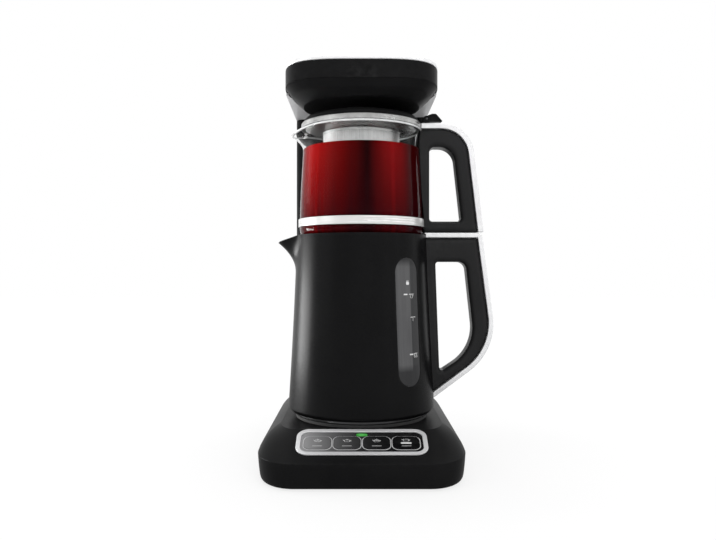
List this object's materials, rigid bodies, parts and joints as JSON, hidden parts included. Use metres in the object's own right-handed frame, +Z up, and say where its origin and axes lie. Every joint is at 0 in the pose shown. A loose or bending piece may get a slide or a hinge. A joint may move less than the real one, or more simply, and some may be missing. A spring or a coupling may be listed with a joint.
{
  "type": "automatic tea maker",
  "caption": "Tea station with a sloping button panel, rear column and brewing head, a docking kettle with spout and handle, and a glass teapot with infuser and hinged lid.",
  "frame": {"origin": "middle of the whole object's footprint, on the table that the feet stand on", "axes": "+Z up; +X to the right as the user sees it, towards the handles; +Y to the back, from the button panel towards the column"},
  "size_m": [0.242, 0.2838, 0.409],
  "materials": {
    "satin_black_plastic": "satin",
    "gloss_black_plastic": "gloss",
    "black_painted_steel": "satin",
    "black_rubber": "matte",
    "bright_silver_trim": "polished",
    "silver_plastic": "satin",
    "steel": "brushed",
    "clear_glass": "clear",
    "smoked_plastic": "gloss",
    "green_lens": "gloss",
    "circuit_board": "satin",
    "silicone_hose": "matte",
    "grey_silicone": "matte"
  },
  "bodies": {
    "station": {"base_housing": "satin_black_plastic", "base_cover": "satin_black_plastic", "foot_1": "black_rubber", "foot_2": "black_rubber", "foot_3": "black_rubber", "foot_4": "black_rubber", "cover_screw_1": "steel", "cover_screw_2": "steel", "cover_screw_3": "steel", "cover_screw_4": "steel", "kettle_seat": "black_rubber", "panel_bezel": "bright_silver_trim", "panel_plate": "gloss_black_plastic", "status_lens": "green_lens", "control_board": "circuit_board", "power_board": "circuit_board", "water_pump": "satin_black_plastic", "pump_inlet_hose": "silicone_hose", "riser_hose": "silicone_hose", "dock_block": "satin_black_plastic", "dock_nozzle": "steel", "column_shell": "satin_black_plastic", "column_rear_cover": "satin_black_plastic", "cord_gland": "black_rubber", "head_shell": "satin_black_plastic", "head_rim": "bright_silver_trim", "head_top_plate": "gloss_black_plastic", "head_soffit": "silver_plastic", "brewing_block": "satin_black_plastic", "spray_head": "silver_plastic"},
    "key_1": {"button_1": "gloss_black_plastic"},
    "key_2": {"button_2": "gloss_black_plastic"},
    "key_3": {"button_3": "gloss_black_plastic"},
    "key_4": {"button_4": "gloss_black_plastic"},
    "kettle": {"kettle_shell": "black_painted_steel", "kettle_bottom_cap": "satin_black_plastic", "kettle_foot_ring": "silver_plastic", "kettle_socket": "satin_black_plastic", "heater_plate": "steel", "outlet_pipe": "steel", "kettle_liner": "steel", "kettle_collar": "steel", "level_window": "smoked_plastic", "kettle_handle": "satin_black_plastic", "kettle_handle_trim": "bright_silver_trim"},
    "teapot": {"teapot_glass": "clear_glass", "teapot_band": "steel", "infuser_basket": "steel", "teapot_handle": "satin_black_plastic", "teapot_handle_trim": "bright_silver_trim", "hinge_bracket": "satin_black_plastic", "hinge_pin": "steel"},
    "lid": {"lid_cap": "satin_black_plastic", "lid_seal": "grey_silicone", "lid_lever": "gloss_black_plastic"}
  },
  "joints": [
    {"name": "button_1_press", "type": "slide", "parent": "station", "child": "key_1", "axis": [0, 0.3527, -0.9357], "range_m": [0, 0.001], "stiffness_N_per_m": 800, "springref_m": -0.0005},
    {"name": "button_2_press", "type": "slide", "parent": "station", "child": "key_2", "axis": [0, 0.3527, -0.9357], "range_m": [0, 0.001], "stiffness_N_per_m": 800, "springref_m": -0.0005},
    {"name": "button_3_press", "type": "slide", "parent": "station", "child": "key_3", "axis": [0, 0.3527, -0.9357], "range_m": [0, 0.001], "stiffness_N_per_m": 800, "springref_m": -0.0005},
    {"name": "button_4_press", "type": "slide", "parent": "station", "child": "key_4", "axis": [0, 0.3527, -0.9357], "range_m": [0, 0.001], "stiffness_N_per_m": 800, "springref_m": -0.0005},
    {"name": "kettle_pull", "type": "slide", "parent": "station", "child": "kettle", "axis": [0, -1, 0], "range_m": [0, 0.21]},
    {"name": "teapot_lift", "type": "slide", "parent": "kettle", "child": "teapot", "axis": [0, 0, 1], "range_m": [0, 0.009]},
    {"name": "lid_hinge", "type": "hinge", "parent": "teapot", "child": "lid", "pos_m": [0.04888, -0.0169, 0.361], "axis": [0, 1, 0], "range_deg": [0, 4]}
  ]
}
